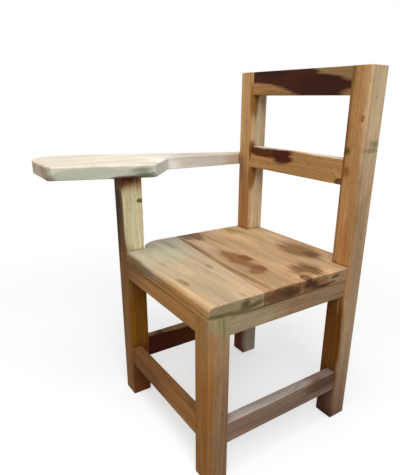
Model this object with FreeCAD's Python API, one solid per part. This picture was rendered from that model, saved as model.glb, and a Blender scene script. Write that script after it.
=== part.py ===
"""A writing-arm chair in reclaimed hardwood.

Four square posts are tied by rails with mortise and tenon joints. Three planks make the seat. A sawn
writing board stands on the tall front right post, and its tail is screwed to the back right post.

Left and right are the sitter's. While the chair is drawn, X runs to the sitter's left from the middle
of the seat, Y runs back from the front posts' faces, and Z runs up from the floor. Each piece is moved
at the end so that the origin lies on the floor, under the middle of the chair's whole plan.
All sizes are in millimetres.
"""
import FreeCAD, Part
import math
import os

os.makedirs("parts", exist_ok=True)

# Overall sizes of the chair without its writing board.
frame_width = 420.0
frame_depth = 430.0
back_height = 845.0
seat_height = 420.0

# Posts: squared timber with lightly eased arrises.
post_side = 50.0
post_easing = 2.5
foot_easing = 2.0

# Rails: boards on edge, set a little back from the posts' faces.
rail_thickness = 25.0
rail_reveal = 2.0
rail_easing = 2.0
apron_height = 44.0
front_stretcher_z = (98.0, 148.0)
left_stretcher_z = (88.0, 140.0)
right_stretcher_z = (92.0, 150.0)
crest_depth = 57.0
back_slat_z = (601.0, 658.0)

# Tenons and their blind sockets.
tenon_thickness = 10.0
tenon_length = 28.0
tenon_shoulder = 6.0
crest_shoulder = 15.0
socket_room = 1.5

# Seat planks. The two joints between them are sawn a little off square, as the trees gave them.
plank_thickness = 28.0
plank_gap = 1.0
plank_easing = 1.5
plank_end_easing = 2.5
nose_radius = 9.0
notch_room = 0.5
relief_radius = 65.0
front_joint_y = (168.0, 133.0)
back_joint_y = (240.0, 232.0)

# Writing board: one sawn board, wide in front and narrow where it passes the back post.
board_underside = 604.0
board_thickness = 30.0
board_front_y = -160.0
board_outer_x = -386.0
board_front_inner_x = -183.0
board_shoulder = (-117.0, 68.0)
board_neck_y = 149.0
board_tail_width = 35.0
board_corner_radius = 82.0
board_front_radius = 8.0
board_shoulder_radius = 14.0
board_neck_radius = 25.0
board_tail_radius = 4.0
board_bend_radius = 60.0
board_top_easing = 3.5
board_bottom_easing = 2.0
post_tenon_side = 26.0
post_tenon_height = 18.0

# Countersunk wood screws, and the wooden plugs that cover the two in the writing board's tail. There are
# many screws, so each one and its hole have eight flats instead of a round.
screw_head_radius = 4.2
screw_head_height = 2.6
screw_shank_radius = 2.2
screw_tip = 5.0
screw_tip_radius = 0.4
screw_flats = 8
screw_slot_width = 1.1
screw_slot_depth = 1.0
seat_screw_length = 40.0
seat_screw_pocket = 22.0
left_screw_y = (72.0, 112.0, 160.0, 208.0, 262.0, 350.0)
right_screw_y = (108.0, 145.0, 186.0, 220.0, 270.0, 350.0)
across_screw_x = (-90.0, 0.0, 90.0)
tail_screw_length = 55.0
tail_screw_inset = 12.0
driver_hole_radius = 5.0
plug_radius = 5.0
plug_thickness = 6.0
plug_easing = 0.6

# Places that follow from the sizes above.
half_width = frame_width / 2
inner_x = half_width - post_side
back_post_y = frame_depth - post_side
plank_underside = seat_height - plank_thickness
apron_z = (plank_underside - apron_height, plank_underside)
crest_z = (back_height - crest_depth, back_height)
board_tail_x = -half_width - board_tail_width
rail_middle = rail_reveal + rail_thickness / 2

V = FreeCAD.Vector
UP = V(0, 0, 1)
LEFT = V(1, 0, 0)
NEAR = 0.01


def block(x, y, z):
    """A box from three (low, high) pairs."""
    return Part.makeBox(x[1] - x[0], y[1] - y[0], z[1] - z[0], V(x[0], y[0], z[0]))


def length_block(run, along, across, height):
    """A box whose length lies along X or along Y."""
    if run == "x":
        return block(along, across, height)
    return block(across, along, height)


def is_straight_along(edge, direction):
    """True for a straight edge parallel to the given direction."""
    if not isinstance(edge.Curve, Part.Line):
        return False
    return abs(edge.Curve.Direction.dot(direction)) > 1 - NEAR


def lies_at_height(edge, height):
    """True for an edge that lies wholly at one height."""
    box = edge.BoundBox
    return abs(box.ZMin - height) < NEAR and abs(box.ZMax - height) < NEAR


def lies_at_x(edge, x):
    """True for an edge that lies wholly in one plane across the chair."""
    box = edge.BoundBox
    return abs(box.XMin - x) < NEAR and abs(box.XMax - x) < NEAR


def upright_edge_at(solid, x, y):
    """The straight upright edge of a prism at one corner of its plan."""
    for edge in solid.Edges:
        middle = edge.CenterOfMass
        if is_straight_along(edge, UP) and math.hypot(middle.x - x, middle.y - y) < NEAR:
            return edge
    raise ValueError("no upright edge at %.1f, %.1f" % (x, y))


def prism(points, low, high):
    """An upright prism on a closed outline of straight sides."""
    corners = [V(x, y, low) for x, y in points]
    outline = Part.makePolygon(corners + corners[:1])
    return Part.Face(outline).extrude(UP * (high - low))


def post(x_low, y_low, top):
    """A square post with eased arrises, standing on the floor."""
    timber = block((x_low, x_low + post_side), (y_low, y_low + post_side), (0, top))
    arrises = [e for e in timber.Edges if is_straight_along(e, UP)]
    timber = timber.makeFillet(post_easing, arrises)
    foot = [e for e in timber.Edges if lies_at_height(e, 0)]
    return timber.makeChamfer(foot_easing, foot)


def ease_top(timber, top):
    """Takes the sharpness off the end grain of a post that shows."""
    rim = [e for e in timber.Edges if lies_at_height(e, top)]
    return timber.makeChamfer(foot_easing / 2, rim)


def rail(run, between, across, height, top_shoulder=tenon_shoulder):
    """A board on edge between two posts with a tenon on each end, and the bar that cuts their sockets."""
    board = length_block(run, between, across, height)
    direction = LEFT if run == "x" else V(0, 1, 0)
    board = board.makeFillet(rail_easing, [e for e in board.Edges if is_straight_along(e, direction)])
    cheek = (rail_thickness - tenon_thickness) / 2
    tongue = (across[0] + cheek, across[1] - cheek)
    tongue_height = (height[0] + tenon_shoulder, height[1] - top_shoulder)
    reach = (between[0] - tenon_length, between[1] + tenon_length)
    tenons = length_block(run, reach, tongue, tongue_height)
    deep = (reach[0] - socket_room, reach[1] + socket_room)
    return board.fuse(tenons).removeSplitter(), length_block(run, deep, tongue, tongue_height)


def joint_line(ends, x):
    """Y of a joint between two planks, from its places on the right and left sides of the seat."""
    share = (x + half_width) / frame_width
    return ends[0] + (ends[1] - ends[0]) * share


def joint_points(ends, offset):
    """The two ends of a plank's sawn edge, right side first, moved off the joint by half its gap."""
    return [(x, joint_line(ends, x) + offset) for x in (-half_width, half_width)]


def ease_plank(plank, radius):
    """Rounds the long upper arrises of a plank."""
    top = [e for e in plank.Edges if lies_at_height(e, seat_height) and not lies_at_x(e, half_width)]
    long_ones = [e for e in top if is_straight_along(e, LEFT) and e.Length > post_side]
    return plank.makeFillet(radius, long_ones)


def ease_left_end(plank):
    """Rounds the upper arris of a plank's left end grain, and down round its nose if it has one."""
    end = [e for e in plank.Edges if lies_at_x(e, half_width)]
    upper = [e for e in end if e.BoundBox.ZMax > plank_underside + plank_thickness / 2]
    shown = [e for e in upper if e.BoundBox.YMin < NEAR or e.BoundBox.ZMin > plank_underside + NEAR]
    return plank.makeFillet(plank_end_easing, shown)


def front_plank():
    """The front plank: a rounded nose, a notch for the tall post and a round relief behind that post."""
    inside = -inner_x + notch_room
    centre = V(-half_width + relief_radius, post_side + relief_radius, plank_underside)
    start = V(-half_width, centre.y, plank_underside)
    end = V(inside, centre.y - math.sqrt(relief_radius ** 2 - (inside - centre.x) ** 2), plank_underside)
    turn = (math.pi + math.atan2(end.y - centre.y, end.x - centre.x) % (2 * math.pi)) / 2
    through = centre + V(math.cos(turn), math.sin(turn), 0) * relief_radius
    right, left = joint_points(front_joint_y, -plank_gap / 2)
    corners = [end, V(inside, 0, plank_underside), V(half_width, 0, plank_underside)]
    corners += [V(left[0], left[1], plank_underside), V(right[0], right[1], plank_underside), start]
    edges = [Part.LineSegment(a, b).toShape() for a, b in zip(corners, corners[1:])]
    edges.append(Part.Arc(start, through, end).toShape())
    plank = Part.Face(Part.Wire(edges)).extrude(UP * plank_thickness)
    nose = [e for e in plank.Edges if lies_at_height(e, seat_height) and abs(e.CenterOfMass.y) < NEAR]
    plank = plank.makeFillet(nose_radius, nose)
    plank = ease_plank(plank, plank_easing)
    return ease_left_end(plank)


def middle_plank():
    """The middle plank, narrower on the sitter's right."""
    front = joint_points(front_joint_y, plank_gap / 2)
    back = joint_points(back_joint_y, -plank_gap / 2)
    plank = prism(front + back[::-1], plank_underside, seat_height)
    return ease_left_end(ease_plank(plank, plank_easing))


def back_plank():
    """The back plank, notched at both corners for the back posts."""
    notch_x = inner_x - notch_room
    notch_y = back_post_y - notch_room
    outline = joint_points(back_joint_y, plank_gap / 2)
    outline += [(half_width, notch_y), (notch_x, notch_y), (notch_x, frame_depth)]
    outline += [(-notch_x, frame_depth), (-notch_x, notch_y), (-half_width, notch_y)]
    plank = prism(outline, plank_underside, seat_height)
    return ease_left_end(ease_plank(plank, plank_easing))


def tangent_point(centre, radius, target):
    """Where a line from the target touches a circle, on the circle's side away from the sitter."""
    reach = target - centre
    opening = math.acos(radius / reach.Length)
    angle = math.atan2(reach.y, reach.x) + opening
    return centre + V(math.cos(angle), math.sin(angle), 0) * radius


def writing_board():
    """The writing board: a full round on its outer front corner, a shoulder beside the sitter and a tail."""
    low = board_underside
    centre = V(board_outer_x + board_corner_radius, board_front_y + board_corner_radius, low)
    bend = V(board_tail_x, back_post_y, low)
    touch = tangent_point(centre, board_corner_radius, bend)
    front_end = V(centre.x, board_front_y, low)
    outermost = V(board_outer_x, centre.y, low)
    eighth = board_corner_radius * math.sqrt(0.5)
    first_middle = centre + V(-eighth, -eighth, 0)
    half_turn = (math.atan2(touch.y - centre.y, touch.x - centre.x) + math.pi) / 2
    second_middle = centre + V(math.cos(half_turn), math.sin(half_turn), 0) * board_corner_radius
    shoulder = V(board_shoulder[0], board_shoulder[1], low)
    neck = V(-half_width, board_neck_y, low)
    tail_inner = V(-half_width, frame_depth, low)
    tail_outer = V(board_tail_x, frame_depth, low)
    front_inner = V(board_front_inner_x, board_front_y, low)
    sides = [touch, bend, tail_outer, tail_inner, neck, shoulder, front_inner, front_end]
    edges = [Part.LineSegment(a, b).toShape() for a, b in zip(sides, sides[1:])]
    edges.append(Part.Arc(front_end, first_middle, outermost).toShape())
    edges.append(Part.Arc(outermost, second_middle, touch).toShape())
    board = Part.Face(Part.Wire(edges)).extrude(UP * board_thickness)
    rounds = [(front_inner, board_front_radius), (shoulder, board_shoulder_radius)]
    rounds += [(neck, board_neck_radius), (tail_outer, board_tail_radius), (bend, board_bend_radius)]
    for corner, radius in rounds:
        board = board.makeFillet(radius, [upright_edge_at(board, corner.x, corner.y)])
    top = board_underside + board_thickness
    board = board.makeFillet(board_top_easing, [e for e in board.Edges if lies_at_height(e, top)])
    return board.makeFillet(board_bottom_easing, [e for e in board.Edges if lies_at_height(e, low)])


def post_tenon(room=0.0):
    """The square stub on the tall front post that enters the writing board from below."""
    x = -half_width + post_side / 2
    y = post_side / 2
    half = post_tenon_side / 2
    height = (board_underside, board_underside + post_tenon_height + room)
    return block((x - half, x + half), (y - half, y + half), height)


def set_along(solid, at, direction):
    """Turns a solid drawn up the Z axis along a direction and moves it to its place."""
    turn = FreeCAD.Rotation(UP, direction)
    return solid.transformed(FreeCAD.Placement(at, turn).Matrix, copy=True)


def flat_sided(profile):
    """A solid with flats round the Z axis, from the radius and height of each of its rings, lowest first."""
    turns = [2 * math.pi * (i + 0.5) / screw_flats for i in range(screw_flats)]
    rings = [[V(r * math.cos(t), r * math.sin(t), z) for t in turns] for r, z in profile]
    outlines = [rings[0], rings[-1]]
    for lower, upper in zip(rings, rings[1:]):
        for i in range(screw_flats):
            outlines.append([lower[i - 1], lower[i], upper[i], upper[i - 1]])
    faces = [Part.Face(Part.makePolygon(points + points[:1])) for points in outlines]
    return Part.makeSolid(Part.makeShell(faces))


def wood_screw(at, direction, length):
    """A slotted countersunk screw, with its head's face at the point, driven along the direction."""
    profile = [(screw_head_radius, 0), (screw_shank_radius, screw_head_height)]
    profile += [(screw_shank_radius, length - screw_tip), (screw_tip_radius, length)]
    screw = flat_sided(profile)
    across_head = (-screw_head_radius, screw_head_radius)
    half_slot = screw_slot_width / 2
    slot = block(across_head, (-half_slot, half_slot), (0, screw_slot_depth))
    return set_along(screw, at, direction), set_along(screw.cut(slot), at, direction)


def driver_hole(at, direction, depth):
    """The wider hole that lets a screw's head sit below the surface, from the surface down to the head."""
    hole = flat_sided([(driver_hole_radius, 0), (driver_hole_radius, depth)])
    return set_along(hole, at - direction * depth, direction)


def plug_hole(at, direction):
    """The round hole over a screw in the writing board's tail, which a plug fills."""
    round_hole = Part.makeCylinder(plug_radius, plug_thickness)
    return set_along(round_hole, at - direction * plug_thickness, direction)


def save(name, shape):
    """Moves a piece into the chair's own frame and writes it."""
    x_middle = (board_outer_x + half_width) / 2
    y_middle = (board_front_y + frame_depth) / 2
    shift = FreeCAD.Placement(V(-x_middle, -y_middle, 0), FreeCAD.Rotation())
    moved = shape.transformed(shift.Matrix, copy=True)
    moved.exportStep("parts/%s.step" % name)
    print("%-18s %2d solid(s) valid %s %9.0f mm3" % (name, len(moved.Solids), moved.isValid(), moved.Volume))


# Rails: one set under the seat, one near the floor and two in the back. The back has no low stretcher.
between_x = (-inner_x, inner_x)
between_y = (post_side, back_post_y)
front_face = (rail_reveal, rail_reveal + rail_thickness)
back_face = (frame_depth - rail_reveal - rail_thickness, frame_depth - rail_reveal)
left_face = (half_width - rail_reveal - rail_thickness, half_width - rail_reveal)
right_face = (-left_face[1], -left_face[0])
rest_face = (back_post_y + rail_reveal, back_post_y + rail_reveal + rail_thickness)

rails = {
    "front_apron": rail("x", between_x, front_face, apron_z),
    "back_apron": rail("x", between_x, back_face, apron_z),
    "left_apron": rail("y", between_y, left_face, apron_z),
    "right_apron": rail("y", between_y, right_face, apron_z),
    "front_stretcher": rail("x", between_x, front_face, front_stretcher_z),
    "left_stretcher": rail("y", between_y, left_face, left_stretcher_z),
    "right_stretcher": rail("y", between_y, right_face, right_stretcher_z),
    "back_slat": rail("x", between_x, rest_face, back_slat_z),
    "crest_rail": rail("x", between_x, rest_face, crest_z, crest_shoulder),
}
sockets = [socket for board, socket in rails.values()]
pieces = {name: board for name, (board, socket) in rails.items()}

# Posts. The front left one ends under the seat; the front right one goes on up to the writing board.
posts = {
    "front_left_leg": post(inner_x, 0, plank_underside),
    "front_right_post": post(-half_width, 0, board_underside).fuse(post_tenon()).removeSplitter(),
    "back_left_post": ease_top(post(inner_x, back_post_y, back_height), back_height),
    "back_right_post": ease_top(post(-half_width, back_post_y, back_height), back_height),
}
for name, timber in posts.items():
    pieces[name] = timber.cut(sockets)

# Seat and writing board.
pieces["seat_plank_front"] = front_plank()
pieces["seat_plank_middle"] = middle_plank()
pieces["seat_plank_back"] = back_plank()
pieces["writing_arm"] = writing_board().cut(post_tenon(socket_room))

# Screws driven up through the aprons into the planks, two for each plank end and three front and back.
side_x = half_width - rail_middle
front_y = rail_middle
back_y = frame_depth - rail_middle
seat_screw_places = [("left_apron", side_x, y) for y in left_screw_y]
seat_screw_places += [("right_apron", -side_x, y) for y in right_screw_y]
seat_screw_places += [("front_apron", x, front_y) for x in across_screw_x]
seat_screw_places += [("back_apron", x, back_y) for x in across_screw_x]
planks = ["seat_plank_front", "seat_plank_middle", "seat_plank_back"]
seat_screws = []
for apron, x, y in seat_screw_places:
    at = V(x, y, apron_z[0] + seat_screw_pocket)
    plain, slotted = wood_screw(at, UP, seat_screw_length)
    pieces[apron] = pieces[apron].cut([plain, driver_hole(at, UP, seat_screw_pocket)])
    for plank in planks:
        if pieces[plank].distToShape(plain)[0] < NEAR:
            pieces[plank] = pieces[plank].cut(plain)
    seat_screws.append(slotted)
pieces["seat_screws"] = Part.makeCompound(seat_screws)

# Two plugged screws through the writing board's tail into the back right post.
tail_screws = []
tail_plugs = []
for y in (back_post_y + tail_screw_inset, frame_depth - tail_screw_inset):
    at = V(board_tail_x + plug_thickness, y, board_underside + board_thickness / 2)
    plain, slotted = wood_screw(at, LEFT, tail_screw_length)
    hole = plug_hole(at, LEFT)
    pieces["writing_arm"] = pieces["writing_arm"].cut([plain, hole])
    pieces["back_right_post"] = pieces["back_right_post"].cut(plain)
    outer = [e for e in hole.Edges if lies_at_x(e, board_tail_x)]
    tail_plugs.append(hole.makeChamfer(plug_easing, outer))
    tail_screws.append(slotted)
pieces["tail_screws"] = Part.makeCompound(tail_screws)
pieces["tail_plugs"] = Part.makeCompound(tail_plugs)

for name, shape in pieces.items():
    save(name, shape)
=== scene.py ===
# %% [markdown]
# # A writing-arm chair in two-tone sheesham
# This rustic chair is joined from square posts, flat rails, three seat planks and a sawn writing
# board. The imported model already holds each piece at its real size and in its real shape, so this
# lesson leaves the shapes alone. It makes what the eye reads as wood: growth rings, pores, pale
# sapwood beside dark heartwood, knots, rubbed arrises and a thin coat of oil.

# %% Load the chair
import functools
import math
import bpy
from mathutils import Matrix, Vector


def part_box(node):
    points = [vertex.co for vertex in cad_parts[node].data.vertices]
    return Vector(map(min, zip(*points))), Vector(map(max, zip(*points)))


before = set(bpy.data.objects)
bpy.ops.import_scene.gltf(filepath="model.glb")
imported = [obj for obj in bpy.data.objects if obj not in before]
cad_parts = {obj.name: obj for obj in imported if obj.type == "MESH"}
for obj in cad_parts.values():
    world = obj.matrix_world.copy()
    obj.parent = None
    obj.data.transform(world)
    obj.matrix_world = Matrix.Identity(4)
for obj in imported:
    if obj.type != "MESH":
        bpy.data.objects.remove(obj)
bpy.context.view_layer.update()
print("pieces on the frame:", len(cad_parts))

# %% [markdown]
# ## One zero point for all measures
# A joiner measures from the chair itself: sideways from the middle of the seat (plus is the
# sitter's left), back from the front posts' faces, and up from the floor, in millimetres. The
# frame's own zero point lies elsewhere. Every place below could be given from there in metres, but
# nobody could check it with a rule. So the bench's zero point is worked out from two posts, and
# every place below is given on the bench.

# %% Find the bench's zero point
MM = 1000.0               # millimetres in a metre
left_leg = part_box("front_left_leg")
right_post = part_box("front_right_post")
bench_zero = Vector(((left_leg[1].x + right_post[0].x) / 2, left_leg[0].y, 0.0))


def on_bench(x, y, z):
    """A place on the bench, in the frame's metres."""
    return bench_zero + Vector((x, y, z)) / MM


print("bench zero in the frame:", [round(v, 4) for v in bench_zero])

# %% [markdown]
# ## Colours as a painter writes them
# Hex values are easy to compare with a swatch, but they are stored for a screen. The shader counts
# in linear light, so one function turns each of them before use.

# %% Turn a hex colour to linear light
def linear(hex_colour):
    """Linear red, green, blue and a full alpha from an sRGB hex value, by sRGB's own curve."""
    screen = [int(hex_colour[i:i + 2], 16) / 255 for i in (1, 3, 5)]
    return [c / 12.92 if c <= 0.04045 else ((c + 0.055) / 1.055) ** 2.4 for c in screen] + [1.0]


print("cream in linear light:", [round(v, 3) for v in linear("#F2E2C6")])

# %% [markdown]
# ## One helper for every node
# A material is a chain of small nodes. Adding each one takes three steps: make it, set it and join
# it to what feeds it. This helper does the three at once, so that the recipes below read like a
# list of steps. It serves the wood, the steel, the floor and the sky alike. Sockets that share a
# name go by number: in Math and VectorMath 0, 1 and 2 are the terms, and those of a Mix of colours
# get names below.

# %% Add a node
SHARE, BELOW, OVER = 0, 6, 7    # a Mix of colours: how much lies over, and the two colours
MIXED = 2                       # and its result


def add(tree, kind, feeds=None, **settings):
    """Adds a node to a tree. A feed is a value, an output, or a node for its first output."""
    node = tree.nodes.new("ShaderNode" + kind)
    for name, value in settings.items():
        setattr(node, name, value)
    for socket, value in (feeds or {}).items():
        if isinstance(value, bpy.types.Node):
            value = value.outputs[0]
        if isinstance(value, bpy.types.NodeSocket):
            tree.links.new(value, node.inputs[socket])
        else:
            node.inputs[socket].default_value = value
    return node


def blank_material(name):
    """A new material with nothing in it, and the helper that adds nodes to it."""
    material = bpy.data.materials.new(name)
    material.use_nodes = True
    material.node_tree.nodes.clear()
    return material, functools.partial(add, material.node_tree)


trial, put_trial = blank_material("trial")
put_trial("Math", {0: 2.0, 1: put_trial("Math", {0: 1.0, 1: 3.0})})
print("a trial:", len(trial.node_tree.nodes), "nodes,", len(trial.node_tree.links), "link")
bpy.data.materials.remove(trial)

# %% [markdown]
# ## How a board sits in its log
# Sheesham is a dense rosewood with creamy sapwood and golden to chocolate heartwood. Real boards
# show straight lines on one face, arches on the next and arcs on the end, because all three are
# cuts through the same growth rings. A picture wrapped round the board can't do that. So the grain
# is drawn in space, and the board cuts through it. All that is needed is each point's place in
# millimetres, and which of the three directions the grain follows.

# %% Tell along the grain from across it
AXIS = {"x": Vector((1, 0, 0)), "y": Vector((0, 1, 0)), "z": Vector((0, 0, 1))}
plain, fine, finest = 1.0, 2.0, 3.0     # how many layers of ever finer spots a pattern has


def by_grain(grain, along, across):
    """Three values, one for each axis: the first along the grain, the second across it."""
    return Vector([along if axis == grain else across for axis in "xyz"])


def millimetres(put):
    """The surface's place on the bench, in millimetres."""
    feeds = {0: put("TexCoord").outputs["Object"], 1: (MM, MM, MM), 2: -bench_zero * MM}
    return put("VectorMath", feeds, operation="MULTIPLY_ADD")


def spots(put, grain, place, along, across, detail):
    """Soft random spots, so many millimetres long along the grain and so many wide across it."""
    scaled = put("VectorMath", {0: place, 1: by_grain(grain, along, across)}, operation="DIVIDE")
    return put("TexNoise", {"Vector": scaled, "Scale": 1.0, "Detail": detail})


print("spots 40 mm long and 5 mm wide on a post:", list(by_grain("z", 40, 5)))

# %% [markdown]
# ## Grain that wanders
# No tree grows like a ruler: its grain drifts aside and comes back. And heartwood doesn't end in a
# clean line along the board, but in long ragged tongues. Bending the mesh would spoil the joints.
# Bending the place that the pattern is drawn from costs nothing. So the place is bent here once
# gently, and then once more into tongues.

# %% Let the grain wander
drift_run, drift_span = 260.0, 75.0     # mm along and across
drift_reach = 18.0                      # mm that the grain drifts aside
fray_run, fray_span = 240.0, 7.0        # mm along and across
fray_reach = 80.0                       # mm that a tongue reaches along the grain


def wandering(put, grain, place, fray):
    """The place, drawn aside by the wandering grain, and the same place frayed along it."""
    drift = spots(put, grain, place, drift_run, drift_span, plain).outputs["Color"]
    aside = by_grain(grain, 0, drift_reach)
    bent = put("VectorMath", {0: drift, 1: aside, 2: place}, operation="MULTIPLY_ADD")
    comb = spots(put, grain, bent, fray_run, fray_span, fine).outputs["Color"]
    tongue = by_grain(grain, fray_reach * fray, 0)
    frayed = put("VectorMath", {0: comb, 1: tongue, 2: bent}, operation="MULTIPLY_ADD")
    return bent, frayed


print("the grain drifts by up to", drift_reach, "mm over", drift_run, "mm")

# %% [markdown]
# ## Growth rings
# Rings are tubes round the log's pith, and the distance from the pith gives a ring's number.
# Blender's wave texture would space them evenly, as no tree does. Noise that changes fast with
# that distance and slowly along the grain gives rings of uneven width and shade. Beside a knot the
# rings bulge outwards, so a knot adds a soft hill to the distance.

# %% Draw the growth rings
ring_width = 4.2          # mm; sheesham's rings are 2 to 6 mm apart
ring_run = 320.0          # mm; a ring keeps its shade along the grain for about this far
knot_stretch = 1.5        # a branch leaves at a slant, so its knot is longer along the grain
bulge_reach = 3.5         # how far from a knot the rings bulge, in sizes of the knot
bulge_height = 1.6        # and how high
ring_roughness = 0.62     # how much fine lines show within a ring


def knot_reach(put, grain, bent, centre, size):
    """How far a place is from a knot, as a share of the given size."""
    middle = Vector(centre) + by_grain(grain, 0, drift_reach / 2)
    off = put("VectorMath", {0: bent, 1: middle}, operation="SUBTRACT")
    sizes = by_grain(grain, size * knot_stretch, size)
    share = put("VectorMath", {0: off, 1: sizes}, operation="DIVIDE")
    return put("VectorMath", {0: share}, operation="LENGTH").outputs["Value"]


def ring_shade(put, grain, pith, knots, bent):
    """The shade of the growth rings, from 0 for dark late wood to 1 for pale early wood."""
    crosswise = by_grain(grain, 0, 1)
    minus_pith = -(Vector(pith) + by_grain(grain, 0, drift_reach / 2)) * crosswise
    off = put("VectorMath", {0: bent, 1: crosswise, 2: minus_pith}, operation="MULTIPLY_ADD")
    distance = put("VectorMath", {0: off}, operation="LENGTH").outputs["Value"]
    for _, centre, size in knots:
        reach = knot_reach(put, grain, bent, centre, size * bulge_reach)
        hill = put("MapRange", {"Value": reach, "From Min": 0.0, "From Max": 1.0,
                                "To Min": size * bulge_height, "To Max": 0.0},
                   interpolation_type="SMOOTHERSTEP")
        distance = put("Math", {0: distance, 1: hill}, operation="ADD")
    number = put("Math", {0: distance, 1: ring_width}, operation="DIVIDE")
    run = put("VectorMath", {0: bent, 1: AXIS[grain] / ring_run}, operation="DOT_PRODUCT")
    strip = put("CombineXYZ", {"X": number, "Y": run.outputs["Value"]})
    feeds = {"Vector": strip, "Scale": 1.0, "Detail": finest, "Roughness": ring_roughness}
    return put("TexNoise", feeds)


post_side = (left_leg[1].x - left_leg[0].x) * MM
print("rings in a post of", round(post_side), "mm: about", round(post_side / ring_width))

# %% [markdown]
# ## Heartwood, sapwood and stains
# Each board is painted first in its main colour. Then come its streaks: places where the saw met
# darker heartwood, reddish wood, a stain or pale sapwood. They could be painted on each face by
# hand, but then they wouldn't meet round the arrises. So a streak is a soft egg in space with a
# colour, a centre, three half lengths and a softness. Its edge is uneven with the rings and with
# blotches. A long streak also ends in tongues, as real heartwood does.

# %% Paint the streaks
mottle_run, mottle_span = 55.0, 22.0      # mm; stains and dark hearts have blotchy edges
mottle_weight = 1.6                       # how much the blotches move an edge, against the rings
edge_weight = 0.5                         # how much both move it, against the streak's size
short_streak = fray_reach / 3             # mm; a shorter half length keeps a smooth edge


def streaked(put, grain, main, streaks, fray, bent, frayed, rings):
    """The main colour with each streak laid over it."""
    colour = linear(main)
    mottle = spots(put, grain, bent, mottle_run, mottle_span, finest)
    uneven = put("Math", {0: mottle, 1: mottle_weight * fray, 2: rings}, operation="MULTIPLY_ADD")
    edge = 1 + edge_weight * (mottle_weight * fray + 1) / 2       # noise is one half on average
    for shade, centre, half, softness in streaks:
        is_long = half["xyz".index(grain)] > short_streak
        place = frayed if is_long else bent
        lean = by_grain(grain, fray_reach * fray / 2 if is_long else 0, drift_reach / 2)
        off = put("VectorMath", {0: place, 1: Vector(centre) + lean}, operation="SUBTRACT")
        share = put("VectorMath", {0: off, 1: half}, operation="DIVIDE")
        reach = put("VectorMath", {0: share}, operation="LENGTH").outputs["Value"]
        ragged = put("Math", {0: uneven, 1: edge_weight, 2: reach}, operation="MULTIPLY_ADD")
        mask = put("MapRange", {"Value": ragged, "To Min": 1.0, "To Max": 0.0,
                                "From Min": edge - softness, "From Max": edge + softness},
                   interpolation_type="SMOOTHSTEP")
        feeds = {SHARE: mask, BELOW: colour, OVER: linear(shade)}
        colour = put("Mix", feeds, data_type="RGBA").outputs[MIXED]
    return colour


print("streaks over", round(2 * short_streak), "mm long get ragged tongues")

# %% [markdown]
# ## Knots
# A knot is the root of a branch, cut across. It has a dark rim and a slightly paler eye. A dot
# would look like paint, so the knot's depth first rises from the eye to the rim and then fades
# out, and the rings above bulge round it.

# %% Paint the knots
eye, rim = 0.2, 0.8               # where the eye ends and the rim begins, in sizes of the knot
eye_depth, rim_depth = 0.65, 0.95 # how much of the knot's colour each shows
bark, clear_wood = 0.75, 1.3      # where the knot begins to fade, and where it is gone


def knotted(put, grain, colour, knots, bent):
    """The colour with each knot in it. A knot is a colour, a centre and half its width in mm."""
    for shade, centre, size in knots:
        reach = knot_reach(put, grain, bent, centre, size)
        depth = put("MapRange", {"Value": reach, "From Min": eye, "From Max": rim,
                                 "To Min": eye_depth, "To Max": rim_depth})
        fade = put("MapRange", {"Value": reach, "From Min": bark, "From Max": clear_wood,
                                "To Min": 1.0, "To Max": 0.0}, interpolation_type="SMOOTHSTEP")
        mask = put("Math", {0: depth, 1: fade}, operation="MULTIPLY")
        feeds = {SHARE: mask, BELOW: colour, OVER: linear(shade)}
        colour = put("Mix", feeds, data_type="RGBA").outputs[MIXED]
    return colour


print("a knot 5 mm across looks", 5 * knot_stretch, "mm long")

# %% [markdown]
# ## Pores and end grain
# Pores are cut-open vessels, short dark dashes along the grain. Real ones are 0.2 mm wide, too
# fine to show in the render, so they are drawn as coarse as they need to be to show. On the end of
# a board the vessels stand open like straws and drink more oil, so end grain turns darker. It
# needs no second material: the face's direction against the grain tells where the saw cut across.

# %% Draw pores and end grain
pore_run = 18.0                   # mm along the grain
pore_span = 1.6                   # mm across it, eight times the real width, so that pores show
pore_rim, pore_heart = 0.60, 0.74 # the noise's level at a pore's rim and in its middle
side_face, cut_face = 0.55, 0.9   # how square to the grain a face is: less is a side, more an end


def pores_of(put, grain, bent):
    """One in a pore, none beside it."""
    dashes = spots(put, grain, bent, pore_run, pore_span, plain)
    return put("MapRange", {"Value": dashes, "From Min": pore_rim, "From Max": pore_heart},
               interpolation_type="SMOOTHSTEP")


def end_grain(put, grain):
    """One where the face looks along the grain."""
    normal = put("NewGeometry").outputs["Normal"]
    facing = put("VectorMath", {0: normal, 1: AXIS[grain]}, operation="DOT_PRODUCT")
    turned = put("Math", {0: facing.outputs["Value"]}, operation="ABSOLUTE")
    return put("MapRange", {"Value": turned, "From Min": side_face, "From Max": cut_face},
               interpolation_type="SMOOTHSTEP")


print("pores drawn", pore_run, "by", pore_span, "mm")

# %% [markdown]
# ## Rubbed arrises, and dust and painted shade in corners
# Hands and clothes polish the arrises paler, and dust and oil stay in the inner corners, which are
# also painted darker as shade. Both could be painted, but Blender can find them. The bevel node
# rounds the normal near an arris, and where it differs from the true normal, there is an arris.
# Ambient occlusion is low where other surfaces are near, and there lie the dust and painted shade.

# %% Find the arrises and the corners
arris_width = 0.004       # m; the pale band that rubbing leaves
flat = 0.985              # wear begins where the two normals agree less than this
turned_away = 0.90        # and is full here, where they part by 26 degrees
corner_width = 0.016      # m; how far the dust and painted shade reach out of a corner
airy, tucked_away = 0.75, 0.35          # the open air where dust and painted shade begin, and where they are thickest
arris_samples, corner_samples = 4, 6    # bands as narrow as these need only few


def worn_edge(put):
    """One on an arris that hands and clothes have rubbed."""
    normal = put("NewGeometry").outputs["Normal"]
    rounded = put("Bevel", {"Radius": arris_width}, samples=arris_samples)
    same = put("VectorMath", {0: normal, 1: rounded}, operation="DOT_PRODUCT").outputs["Value"]
    return put("MapRange", {"Value": same, "From Min": flat, "From Max": turned_away},
               interpolation_type="SMOOTHSTEP")


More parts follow.
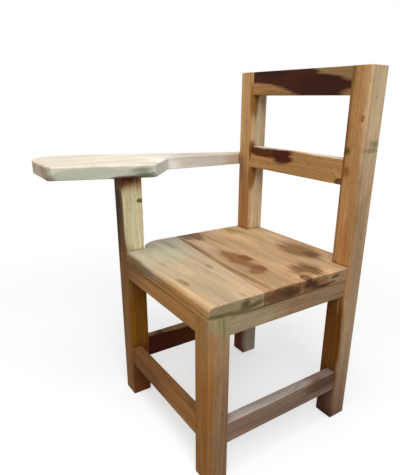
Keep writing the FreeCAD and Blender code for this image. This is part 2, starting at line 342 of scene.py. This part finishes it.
def dust_and_shade_in_corners(put):
    """One deep in an inner corner, where dust and painted shade go."""
    occlusion = put("AmbientOcclusion", {"Distance": corner_width}, samples=corner_samples)
    open_air = occlusion.outputs["AO"]
    return put("MapRange", {"Value": open_air, "From Min": airy, "From Max": tucked_away},
               interpolation_type="SMOOTHSTEP")


# The grimy band is where dust and painted shade go.
print("rubbed band:", arris_width * MM, "mm, grimy band:", corner_width * MM, "mm")

# %% [markdown]
# ## Tones over the colour
# Late wood is darker than early wood, and broad patches of a board lean cooler or warmer, as light
# and sap have changed it. Each tone could be mixed in as a colour of its own, but a cover coat
# hides what lies below it. A tint is multiplied with the colour, like a thin glaze, so the streaks
# stay alive under it.

# %% Tone the rings and the patches
late_wood, early_wood = (0.70, 0.64, 0.57, 1.0), (1.30, 1.36, 1.43, 1.0)    # 1 changes nothing
ring_strength = 0.8                       # how much of the rings' tint shows
flush_run, flush_span = 210.0, 45.0       # mm; the size of the patches
cool_patch, warm_patch = (0.86, 0.88, 0.92, 1.0), (1.14, 1.12, 1.08, 1.0)
low_shade, high_shade = 0.3, 0.7          # nearly all of the noise lies between these


def glazed(put, colour, layers):
    """The colour with thin tints laid over it in turn. A layer is a share and a tint."""
    for share, tint in layers:
        feeds = {SHARE: share, BELOW: colour, OVER: tint}
        colour = put("Mix", feeds, data_type="RGBA", blend_type="MULTIPLY").outputs[MIXED]
    return colour


def toned(put, grain, colour, figure, bent, rings):
    """The colour with the two tones of the rings and of the patches laid over it."""
    flush = spots(put, grain, bent, flush_run, flush_span, fine)
    ring_tint, flush_tint = put("ValToRGB", {"Fac": rings}), put("ValToRGB", {"Fac": flush})
    for ramp, low, high in ((ring_tint, late_wood, early_wood),
                            (flush_tint, cool_patch, warm_patch)):
        first, last = ramp.color_ramp.elements
        first.position, first.color = low_shade, low
        last.position, last.color = high_shade, high
    return glazed(put, colour, [(figure * ring_strength, ring_tint), (1.0, flush_tint)])


print("late wood's tint:", late_wood[:3], "early wood's tint:", early_wood[:3])

# %% [markdown]
# ## The finished wood
# The chair is planed and wiped with thin oil. The oil soaks in, so the eye sees the grain clearly
# and only a low, soft shine, with no film as under varnish. A coat on the shader would give that
# film, so there is none, and the roughness alone does it. Planing leaves the late wood a hair
# proud and the pores open, which a very small bump shows.

# %% Make planed and oiled sheesham
pore_depth = (0.35, 0.42, 0.48)   # how much red, green and blue a pore swallows
rubbed = (1.15, 1.14, 1.12, 1.0)  # a tint above 1, since a rubbed arris is paler
dust_and_shade_tint = "#A8947E"           # the tint of old dust and oil, and of painted shade in corners
oiled_end = "#D2CCC0"             # the tint of end grain that drank the oil
late_roughness = 0.72             # oiled wood has 0.5 to 0.8; hard late wood holds less oil
early_roughness = 0.58
relief_height = 0.0003            # m; three times planed wood's own, which is too fine to show
relief_strength = 0.6             # how much of it the light sees
pore_drop = -0.6                  # a pore lies lower than the wood round it
wood_ior = 1.25                   # wood and oil have about 1.5; fibres that drank oil shine less
usual_fray = 0.6                  # how much of the longest tongues a board has


def sheesham(name, grain, pith, main, streaks=(), knots=(),
             figure=1.0, fray=usual_fray, end_tint=oiled_end):
    """One board's wood. Figure is how strongly the rings show, fray how ragged a streak is."""
    material, put = blank_material(name)
    bent, frayed = wandering(put, grain, millimetres(put), fray)
    rings = ring_shade(put, grain, pith, knots, bent)
    pores = pores_of(put, grain, bent)
    colour = streaked(put, grain, main, streaks, fray, bent, frayed, rings)
    colour = toned(put, grain, colour, figure, bent, rings)
    colour = knotted(put, grain, colour, knots, bent)
    colour = glazed(put, colour, [
        (pores, [1 - depth * figure for depth in pore_depth] + [1.0]),
        (end_grain(put, grain), linear(end_tint)),
        (worn_edge(put), rubbed),
        (dust_and_shade_in_corners(put), linear(dust_and_shade_tint)),
    ])
    satin = put("MapRange", {"Value": rings, "From Min": low_shade, "From Max": high_shade,
                             "To Min": late_roughness, "To Max": early_roughness})
    relief = put("Math", {0: pores, 1: pore_drop, 2: rings}, operation="MULTIPLY_ADD")
    bump = put("Bump", {"Height": relief, "Distance": relief_height, "Strength": relief_strength})
    feeds = {"Base Color": colour, "Roughness": satin, "Normal": bump, "IOR": wood_ior}
    put("OutputMaterial", {"Surface": put("BsdfPrincipled", feeds)})
    return material


print("oiled sheesham: roughness", early_roughness, "to", late_roughness, "and IOR", wood_ior)

# %% [markdown]
# ## A board for every piece
# No two pieces of a chair come from the same spot in the log. One shared material would be
# quicker, but the rings would then run straight on from piece to piece. So each piece gets a
# material of its own, named for the wood, its surface and the piece.

# %% Dress a piece
def dress(node, material):
    """Puts a material on a piece of the frame."""
    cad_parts[node].material_slots[0].material = material
    print("%-20s %-38s %3d nodes" % (node, material.name, len(material.node_tree.nodes)))


def dress_in_sheesham(node, *board, **finish):
    """Makes a board's wood and puts it on a piece."""
    dress(node, sheesham("planed_sheesham_" + node, *board, **finish))


print("pieces that wait for a material:", len(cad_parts))

# %% [markdown]
# ## The front posts
# Two squared posts, their grain upright: a short one that ends under the seat, and a tall one that
# carries the writing board. Both could take one material, but the eye knows a post by its marks,
# so each has streaks of its own. The pith lies in front of each, so the front face is cut near the
# golden heart and the side shows paler wood. The tall post's side is sapwood above the seat, with
# an olive stain, and dark heart below it.

# %% Dress the front posts
dress_in_sheesham("front_left_leg", "z", (120, -40, 0), "#A66F31", [
    ("#B38249", (185, -5, 400), (60, 30, 130), 0.5),          # paler near the top of the front
    ("#A17D5C", (232, 34, 200), (28, 40, 900), 0.25),         # greyer outer side
    ("#AF9470", (232, 34, 400), (34, 60, 130), 0.5),
    ("#A3966E", (214, 34, 378), (18, 34, 24), 0.6),           # a greenish touch under the seat
    ("#AA7C54", (213, 8, 345), (12, 11, 26), 0.6),
], [("#6E6A3C", (163, 0, 102), 6)])

dress_in_sheesham("front_right_post", "z", (-300, -60, 0), "#8E612E", [
    ("#3C2004", (-205, -14, 540), (36, 24, 160), 0.3),        # dark heart above the seat
    ("#DED3AB", (-146, 36, 560), (28, 46, 230), 0.12),        # sapwood side
    ("#8A5815", (-150, 40, 150), (30, 60, 190), 0.12),        # the same side below the seat
    ("#6D3A13", (-150, 40, 70), (30, 60, 90), 0.4),
    ("#B8986A", (-160, 25, 600), (60, 60, 26), 0.6),
    ("#62301A", (-180, 6, 612), (60, 40, 28), 0.4),           # painted shadow of the writing board on the post's top, here and next
    ("#6E3A1C", (-190, -4, 598), (40, 22, 22), 0.5),
    ("#6E6430", (-160, 43, 544), (10, 10, 5), 0.4),           # olive stain
])

# %% [markdown]
# ## The back posts
# Two squared posts that run up past the crest rail. Their fronts are golden, their sides pale and
# a little grey, and their feet darker. Where the rails enter them, the wood is marked. The dust
# and painted shade in the corners alone would mark every joint alike, so a few small streaks of
# different colours stand beside the joints as well.

# %% Dress the back posts
dress_in_sheesham("back_left_post", "z", (120, 300, 0), "#BA8A56", [
    ("#7E4E26", (156, 378, 710), (11, 30, 150), 0.4),         # dark inner arris
    ("#B47A46", (186, 374, 470), (10, 20, 50), 0.5),
    ("#7A4914", (185, 368, 180), (60, 24, 205), 0.1),         # dark front below the seat
    ("#5A3018", (185, 368, 40), (60, 24, 110), 0.4),
    ("#C0A07D", (234, 412, 420), (30, 44, 1200), 0.15),       # pale outer side
    ("#E4CCA4", (246, 415, 830), (46, 60, 300), 0.4),
    ("#7A5A24", (160, 376, 818), (8, 20, 34), 0.5),           # mark beside the crest rail
    ("#927058", (234, 420, -10), (44, 60, 150), 0.6),         # foot, darker towards its end
    ("#785B47", (236, 410, -2), (30, 60, 36), 0.5),
    ("#42241A", (185, 366, -2), (60, 22, 40), 0.5),
    ("#94602A", (168, 376, 632), (14, 16, 11), 0.5),          # marks beside the slat
    ("#5E4A22", (166, 376, 676), (9, 16, 9), 0.5),
    ("#9C9472", (212, 414, 692), (12, 19, 7), 0.6),           # greenish marks on the outer side
    ("#A48F6E", (212, 404, 679), (12, 24, 5), 0.6),
], [("#945F34", (197, 380, 743), 5)])

dress_in_sheesham("back_right_post", "z", (-300, 300, 0), "#CEA672", [
    ("#B8814E", (-186, 370, 420), (60, 26, 230), 0.3),        # warmer towards the seat
    ("#662A0C", (-186, 368, 60), (60, 30, 140), 0.2),         # dark foot
    ("#C99A64", (-174, 380, 745), (17, 20, 105), 0.4),
    ("#987252", (-200, 378, 590), (14, 20, 40), 0.5),
    ("#D7BB94", (-140, 412, 600), (28, 44, 600), 0.15),       # pale inner side
    ("#94642C", (-158, 386, 775), (12, 16, 45), 0.4),         # marks beside the rails
    ("#94642C", (-158, 386, 582), (12, 16, 40), 0.4),
    ("#8A5220", (-162, 380, 645), (9, 14, 26), 0.4),
    ("#E0CBB6", (-140, 412, 60), (34, 44, 130), 0.4),
])

# %% [markdown]
# ## The rails of the back
# The crest rail and the slat below it are boards on edge, their grain lying. Both were sawn where
# heartwood meets sapwood. Each could be built up from either colour, and the one that covers more
# is the simpler start. So the crest is chocolate with tan streaks, and the slat is tan with a dark
# red patch along its upper edge.

# %% Dress the rails of the back
dress_in_sheesham("crest_rail", "x", (0, 382, 960), "#441C06", [
    ("#AE8050", (-180, 384, 783), (172, 40, 33), 0.08),       # tan tongue along the lower edge
    ("#8E6C3E", (-70, 384, 780), (110, 40, 17), 0.1),
    ("#351006", (86, 384, 806), (86, 40, 30), 0.5),           # the darkest heart
    ("#321404", (-96, 384, 838), (50, 40, 16), 0.5),
    ("#9A7850", (150, 384, 854), (99, 40, 26), 0.1),          # tan corner at the upper left
    ("#9A7850", (175, 384, 841), (58, 40, 24), 0.2),
    ("#9A7044", (186, 384, 779), (60, 40, 26), 0.25),
], figure=0.9, fray=0.25)

dress_in_sheesham("back_slat", "x", (0, 382, 500), "#B88A55", [
    ("#CB9A5E", (-150, 382, 606), (50, 30, 16), 0.5),
    ("#5C300A", (-115, 378, 650), (85, 30, 17), 0.25),        # dark upper edge
    ("#7A4A28", (-22, 378, 656), (28, 30, 12), 0.4),
    ("#5A3018", (-40, 378, 658), (26, 30, 11), 0.3),
    ("#501804", (-37, 378, 643), (38, 30, 19), 0.25),         # dark red patch
    ("#D9C3AA", (0, 396, 665), (400, 40, 8), 0.1),            # pale top
    ("#F1E1CE", (-110, 402, 684), (110, 46, 32), 0.1),
], [("#5A2008", (157, 382, 609), 10)])

# %% [markdown]
# ## The aprons
# Four boards on edge, close under the seat, keep the posts square and carry the planks. The front
# one is golden, and the left one greyer. Each has a dark line of painted shadow under the seat's
# edge. The other two are seldom seen, so the rings and tones alone are enough for them.

# %% Dress the aprons
dress_in_sheesham("front_apron", "x", (0, 2, 260), "#B9844A", [
    ("#A47142", (-170, 2, 370), (80, 30, 60), 0.5),
    ("#9C6832", (-30, 0, 389), (120, 30, 6), 0.5),            # painted shadow under the seat's nose
])
dress_in_sheesham("left_apron", "y", (208, 0, 250), "#A28465", [
    ("#BAA280", (208, 90, 366), (30, 90, 26), 0.5),
    ("#5E4A30", (208, 194, 398), (30, 166, 13), 0.4),         # painted shadow line under the planks
])
dress_in_sheesham("back_apron", "x", (0, 428, 260), "#A87C50")
dress_in_sheesham("right_apron", "y", (-208, 0, 250), "#A07850")

# %% [markdown]
# ## The stretchers
# Three low rails tie the posts near the floor. Feet and brooms have greyed the left one's top, the
# front one is brown, and the right one is nearly all dark red heart with a tan top. A streak far
# longer than the rail and only a few millimetres high colours just the top, so no second material
# is needed there.

# %% Dress the stretchers
dress_in_sheesham("front_stretcher", "x", (0, 2, 30), "#AA743A", [
    ("#7D4B12", (-110, 2, 124), (130, 30, 60), 0.4),          # darker right half
    ("#865D33", (0, 16, 158), (400, 30, 14), 0.15),           # brown top
])
dress_in_sheesham("left_stretcher", "y", (208, 0, 20), "#937866", [
    ("#664632", (208, 356, 122), (40, 76, 17), 0.4),
    ("#B4A69C", (196, 215, 148), (30, 600, 11), 0.12),        # greyed top
    ("#A89284", (196, 352, 146), (30, 34, 11), 0.4),
])
dress_in_sheesham("right_stretcher", "y", (-208, 0, 20), "#603206", [
    ("#461402", (-186, 70, 120), (40, 90, 60), 0.5),
    ("#B88A58", (-194, 200, 162), (60, 600, 16), 0.1),        # tan top
], figure=0.6)

# %% [markdown]
# ## The front seat plank
# Three planks lie across the chair. The front one is pale, greyish sapwood with a golden nose, a
# few small stains and a knot. Its left end is worn nearly as pale as its top, which a paler tint
# for the end grain gives.

# %% Dress the front plank
worn_end = "#ECEAE6"              # the tint of a worn end
dress_in_sheesham("seat_plank_front", "x", (0, 60, 340), "#C2AB8A", [
    ("#C2B99E", (-180, 70, 420), (130, 110, 60), 0.5),        # greyer towards the writing board
    ("#AAA188", (-165, 118, 420), (40, 9, 20), 0.5),
    ("#D8B68C", (190, 6, 420), (90, 22, 30), 0.5),            # warm front left corner
    ("#D4B08E", (185, 116, 420), (46, 20, 20), 0.5),
    ("#C48F50", (95, -10, 398), (150, 16, 40), 0.3),          # golden nose, and next a painted highlight on its rounding
    ("#E2B682", (134, -14, 413), (85, 14, 13), 0.5),
    ("#8A6939", (-140, -10, 397), (130, 16, 26), 0.4),
    ("#6E4822", (120, -12, 394), (90, 12, 9), 0.5),           # painted shade along the nose's lower edge, here and in the next four
    ("#6C4620", (30, -12, 398), (64, 12, 12), 0.5),
    ("#60431F", (-44, -12, 407), (44, 12, 13), 0.5),
    ("#54401F", (-98, -12, 417), (40, 12, 11), 0.5),
    ("#80603E", (-112, -12, 397), (44, 12, 8), 0.5),
    ("#AEA386", (-36, 38, 420), (14, 7, 20), 0.6),            # small stains
    ("#A08A66", (80, 24, 420), (20, 7, 20), 0.6),
    ("#A48A66", (32, 120, 420), (14, 7, 20), 0.6),
    ("#B8946C", (196, 86, 420), (12, 6, 20), 0.6),
    ("#B8A37E", (216, 65, 404), (9, 90, 40), 0.15),           # left end, with an olive line
    ("#7C704C", (214, 30, 399), (8, 60, 5), 0.5),
    ("#6C5A38", (214, 82, 409), (8, 12, 10), 0.5),
    ("#716443", (214, 100, 400), (8, 30, 6), 0.5),
], [("#86704A", (88, 24, 420), 4)], figure=0.6, end_tint=worn_end)

# %% [markdown]
# ## The middle and back seat planks
# These two are warmer, with brown and olive figure. A swirl lies round a knot near the back left
# corner. A brown figure is rarely one patch: it is drawn from a few small streaks that run into
# each other.

# %% Dress the middle and back planks
dress_in_sheesham("seat_plank_middle", "x", (0, 200, 330), "#BE9A73", [
    ("#C6A482", (-110, 192, 420), (46, 16, 20), 0.5),
    ("#A0724A", (50, 200, 420), (76, 15, 20), 0.4),           # brown figure, and darker parts
    ("#936440", (6, 209, 420), (40, 19, 20), 0.4),
    ("#845430", (30, 227, 420), (22, 16, 20), 0.4),
    ("#98683F", (36, 194, 420), (20, 13, 20), 0.4),
    ("#90613C", (102, 206, 420), (21, 20, 20), 0.4),
    ("#9E7048", (112, 186, 420), (16, 12, 20), 0.35),
    ("#9A7850", (20, 152, 420), (230, 8, 20), 0.5),           # darker line along the front joint
    ("#8A6C4C", (-120, 162, 420), (100, 10, 20), 0.5),
    ("#7A583A", (-186, 210, 420), (46, 22, 20), 0.35),        # dark right end
    ("#6E6050", (-198, 182, 420), (30, 14, 20), 0.4),
    ("#9C6F46", (216, 186, 404), (9, 90, 40), 0.15),          # left end, with its dark heart
    ("#745339", (214, 168, 405), (8, 40, 12), 0.45),
    ("#604026", (214, 208, 402), (8, 30, 11), 0.4),
    ("#7C5634", (214, 146, 401), (8, 20, 9), 0.5),
], figure=0.8, fray=1.1, end_tint=worn_end)

dress_in_sheesham("seat_plank_back", "x", (0, 330, 335), "#CAA47B", [
    ("#B89E68", (-100, 352, 420), (60, 14, 20), 0.5),         # olive patches on the right
    ("#A08350", (-172, 332, 420), (34, 26, 20), 0.5),
    ("#D6B48C", (-110, 400, 420), (70, 20, 20), 0.5),
    ("#8E683E", (58, 374, 420), (68, 40, 20), 0.4),           # brown patch before the left post
    ("#6C4826", (98, 376, 420), (22, 16, 20), 0.5),
    ("#7E5A32", (162, 290, 420), (38, 36, 20), 0.35),         # the swirl and its paler middle
    ("#AC845A", (186, 272, 420), (15, 13, 20), 0.4),
    ("#D8B086", (206, 336, 420), (14, 22, 20), 0.5),          # pale corner before the post
    ("#9D724C", (216, 265, 404), (9, 60, 40), 0.2),           # left end, with its dark heart
    ("#4C2C16", (214, 264, 405), (8, 26, 10), 0.4),
    ("#7A5838", (214, 338, 409), (8, 16, 6), 0.5),
    ("#5A3A20", (214, 300, 395), (8, 44, 5), 0.4),
], [("#5A361C", (200, 255, 420), 11)], figure=0.8, fray=1.1, end_tint=worn_end)

# %% [markdown]
# ## The writing board
# One wide board of almost white sapwood, planed smooth, so its figure is faint. Its grain runs
# front to back. The edge beside the sitter is greyer, with olive stains and painted shade under
# the shoulder, and the tail is cooler than the broad part. The neck and slanted face carry painted
# light, and the lower edge over the post and the front corner painted shade. Plain white would
# look like plastic, and these faint differences are what keeps it wood.

# %% Dress the writing board
dress_in_sheesham("writing_arm", "y", (-250, 0, 480), "#EBE1CC", [
    ("#D9D7CD", (-228, 410, 620), (60, 200, 60), 0.5),        # cooler tail
    ("#C6CAB9", (-140, -70, 607), (70, 140, 24), 0.2),        # greyer edge beside the sitter
    ("#FFFDF8", (-176, 128, 616), (60, 60, 30), 0.3),         # painted light on the neck and slanted face, here and next
    ("#F9FFF2", (-158, 110, 614), (66, 56, 19), 0.12),
    ("#CFC5B7", (-228, 290, 650), (70, 190, 20), 0.3),
    ("#9DA08A", (-120, 34, 621), (20, 24, 6), 0.6),           # olive stains under the shoulder, with painted shade on its lower edge
    ("#70765F", (-114, 38, 602), (22, 34, 13), 0.4),
    ("#4A3420", (-135, 0, 601), (44, 42, 10), 0.25),          # painted shade on the lower edge over the post
    ("#C0B89D", (-184, -160, 620), (9, 9, 40), 0.3),          # front corner in painted shade, as if rounder, and the front end
    ("#E9D9BE", (-290, -166, 620), (96, 9, 60), 0.2),
    ("#CCB090", (-215, -168, 620), (36, 12, 60), 0.5),
    ("#CDB59C", (-210, 385, 618), (20, 50, 30), 0.5),
    ("#8C8A6E", (-182, -160, 604), (14, 16, 12), 0.5),
], figure=0.3, fray=0.5, end_tint="#FFFFFF")

# %% [markdown]
# ## Plugs
# Two wooden plugs hide the screws in the writing board's tail. A plug could be cut from a board's
# face, to hide itself, or from a rod. These are rod, so they show their end grain, and their grain
# runs sideways into the board.

# %% Dress the plugs
dress_in_sheesham("tail_plugs", "x", (0, 405, 640), "#C9A070")

# %% [markdown]
# ## Screws
# The screws are steel, turned and then plated with zinc. To the eye that is a bright metal with a
# faint cloudiness. An even grey would look like plastic, so the roughness and the shade both
# follow a soft cloud. A metal keeps the default IOR.

# %% Dress the screws
cloud_span = 1.7                        # mm; the plating's clouds are about this wide
cloud_low, cloud_high = 0.35, 0.65      # most of the noise lies between these
bright, dulled = 0.28, 0.5              # roughness; zinc plating has 0.25 to 0.5
bright_zinc, dull_zinc = "#C9C7BF", "#A9A79E"


def zinc_plated_steel(name):
    """Screws from the box: bright, with the cloudiness of a plated skin."""
    material, put = blank_material(name)
    feeds = {"Vector": millimetres(put), "Scale": 1 / cloud_span, "Detail": finest}
    cloud = put("TexNoise", feeds)
    dull = put("MapRange", {"Value": cloud, "From Min": cloud_low, "From Max": cloud_high,
                            "To Min": bright, "To Max": dulled})
    feeds = {SHARE: cloud, BELOW: linear(bright_zinc), OVER: linear(dull_zinc)}
    shade = put("Mix", feeds, data_type="RGBA").outputs[MIXED]
    surface = put("BsdfPrincipled", {"Base Color": shade, "Metallic": 1.0, "Roughness": dull})
    put("OutputMaterial", {"Surface": surface})
    return material


steel = zinc_plated_steel("zinc_plated_steel")
dress("seat_screws", steel)
dress("tail_screws", steel)

# %% [markdown]
# ## What is seen against what gives light
# The floor and the sky are white, yet so much white light from all round would wash out the wood.
# A ray knows its kind, so both can be white for the rays that look at them, straight or by way of
# a reflection or glass, and greyer for the rays that gather soft light.

# %% Tell seen light from soft light
def seen_share(put):
    """One for a ray from the camera, a reflection or glass, none for one that gathers light."""
    rays = put("LightPath").outputs
    direct = put("Math", {0: rays["Is Camera Ray"], 1: rays["Is Glossy Ray"]}, operation="MAXIMUM")
    return put("Math", {0: direct, 1: rays["Is Transmission Ray"]}, operation="MAXIMUM")


white_light = (1.0, 1.0, 1.0, 1.0)
print("white, where it is seen:", white_light[:3])

# %% [markdown]
# ## A white floor that keeps its shadow
# The chair stands on a painted floor. Near the chair the floor is matt, so it takes a soft shadow,
# and a little light of its own lifts it towards white. Further out it fades to plain white, so no
# horizon shows. A bent backdrop would do the same in a real studio, but would have to be turned
# for every view.

# %% Lay the floor
floor_half = 12.0               # m
shadow_radius = 0.5             # m from the chair; here the matt floor begins to fade
white_radius = 1.5              # m; and here it is plain white
seen_floor = "#CDCDCD"          # the paint as it is seen
lighting_floor = "#8F8C88"      # and as it lights the chair
floor_lift = 0.56               # the floor's own light, where 1 is white

corners = [(-floor_half, -floor_half, 0), (floor_half, -floor_half, 0),
           (floor_half, floor_half, 0), (-floor_half, floor_half, 0)]
floor_mesh = bpy.data.meshes.new("floor")
floor_mesh.from_pydata(corners, [], [(0, 1, 2, 3)])
floor = bpy.data.objects.new("floor", floor_mesh)
bpy.context.scene.collection.objects.link(floor)

paint, put_floor = blank_material("matt_painted_floor")
place = put_floor("TexCoord").outputs["Object"]
away = put_floor("VectorMath", {0: place}, operation="LENGTH").outputs["Value"]
far = put_floor("MapRange", {"Value": away, "From Min": shadow_radius, "From Max": white_radius},
                interpolation_type="SMOOTHSTEP")
floor_seen = seen_share(put_floor)
faded = put_floor("Math", {0: far, 1: floor_seen}, operation="MULTIPLY")
tones = {SHARE: floor_seen, BELOW: linear(lighting_floor), OVER: linear(seen_floor)}
tone = put_floor("Mix", tones, data_type="RGBA").outputs[MIXED]
matt = put_floor("BsdfDiffuse", {"Color": tone})
strength = put_floor("Math", {0: floor_seen, 1: floor_lift}, operation="MULTIPLY")
lift = put_floor("Emission", {"Color": white_light, "Strength": strength})
near_floor = put_floor("AddShader", {0: matt, 1: lift})
far_floor = put_floor("Emission", {"Color": white_light, "Strength": 1.0})
whole_floor = put_floor("MixShader", {0: faded, 1: near_floor, 2: far_floor})
put_floor("OutputMaterial", {"Surface": whole_floor})
floor_mesh.materials.append(paint)
print("floor:", 2 * floor_half, "m wide, white beyond", white_radius, "m")

# %% [markdown]
# ## Soft studio light
# A wide softbox hangs over the chair and makes the tops bright. A second one stands to the
# sitter's left and opens up the sides. Point lamps would draw hard shadows that plain studio
# pictures don't have. The sky fills the rest.

# %% Hang the lamps
def softbox(name, place, target, size, power):
    """A square area lamp that looks at a target."""
    light = bpy.data.lights.new(name, "AREA")
    light.shape = "SQUARE"
    light.size = size
    light.energy = power
    lamp = bpy.data.objects.new(name, light)
    lamp.location = place
    lamp.rotation_euler = (target - place).to_track_quat("-Z", "Y").to_euler()
    bpy.context.scene.collection.objects.link(lamp)
    print(name, power, "W, from", round((place - target).length, 2), "m")


seat_middle = on_bench(0, 215, 420)
softbox_size = 1.2        # m
softbox("overhead_softbox", on_bench(150, -150, 2100), seat_middle, softbox_size, power=13.0)
softbox("side_softbox", on_bench(1500, -700, 1900), seat_middle, softbox_size, power=25.0)

# %% [markdown]
# ## The sky
# The sky could be a picture of a studio, but a plain one lights a plain object just as well. It is
# white where it is seen and gives about a third of that as light, so the colours come out about as
# they are written. The view is set to Standard, which changes no colour.

# %% Paint the sky
sky_light = 0.34          # where 1 is white
world = bpy.data.worlds.new("studio")
bpy.context.scene.world = world
world.use_nodes = True
world.node_tree.nodes.clear()
put_sky = functools.partial(add, world.node_tree)
soft_sky = put_sky("Background", {"Color": white_light, "Strength": sky_light})
white_sky = put_sky("Background", {"Color": white_light, "Strength": 1.0})
whole_sky = put_sky("MixShader", {0: seen_share(put_sky), 1: soft_sky, 2: white_sky})
put_sky("OutputWorld", {"Surface": whole_sky})
bpy.context.scene.view_settings.view_transform = "Standard"
print("sky light:", sky_light)

# %% [markdown]
# ## The camera
# The camera stands at the sitter's left front, a little above the writing board, and looks down at
# the seat. Its place and lens could be set by eye. Here they come from the photograph's own
# perspective: lines that are parallel on the chair meet in it, and where they meet gives the
# camera's turn, dip and lens. The picture's middle isn't where the lens points, which the two
# shifts allow for.

# %% Set up the camera
turn, dip, tilt = math.radians(55.12), math.radians(19.94), math.radians(0.86)
camera_place = on_bench(795.4, -389.2, 772.8)
picture_height = 475.0                  # pixels, for the lens and the shifts
focal_length = 432.94                   # in the same pixels
axis_right, axis_down = 18.30, 20.64    # pixels from the picture's middle to the lens's axis
sensor = 36.0                           # mm

forward = Vector((-math.sin(turn) * math.cos(dip), math.cos(turn) * math.cos(dip), -math.sin(dip)))
level = Vector((math.cos(turn), math.sin(turn), 0.0))
upright = level.cross(forward)
right = level * math.cos(tilt) + upright * math.sin(tilt)
up = upright * math.cos(tilt) - level * math.sin(tilt)

lens = bpy.data.cameras.new("camera")
lens.sensor_width = sensor
lens.lens = sensor * focal_length / picture_height
lens.shift_x = -axis_right / picture_height
lens.shift_y = axis_down / picture_height
camera = bpy.data.objects.new("camera", lens)
turned = Matrix((right, up, -forward)).transposed().to_4x4()
camera.matrix_world = Matrix.Translation(camera_place) @ turned
bpy.context.scene.collection.objects.link(camera)
bpy.context.scene.camera = camera
print("lens:", round(lens.lens, 2), "mm")
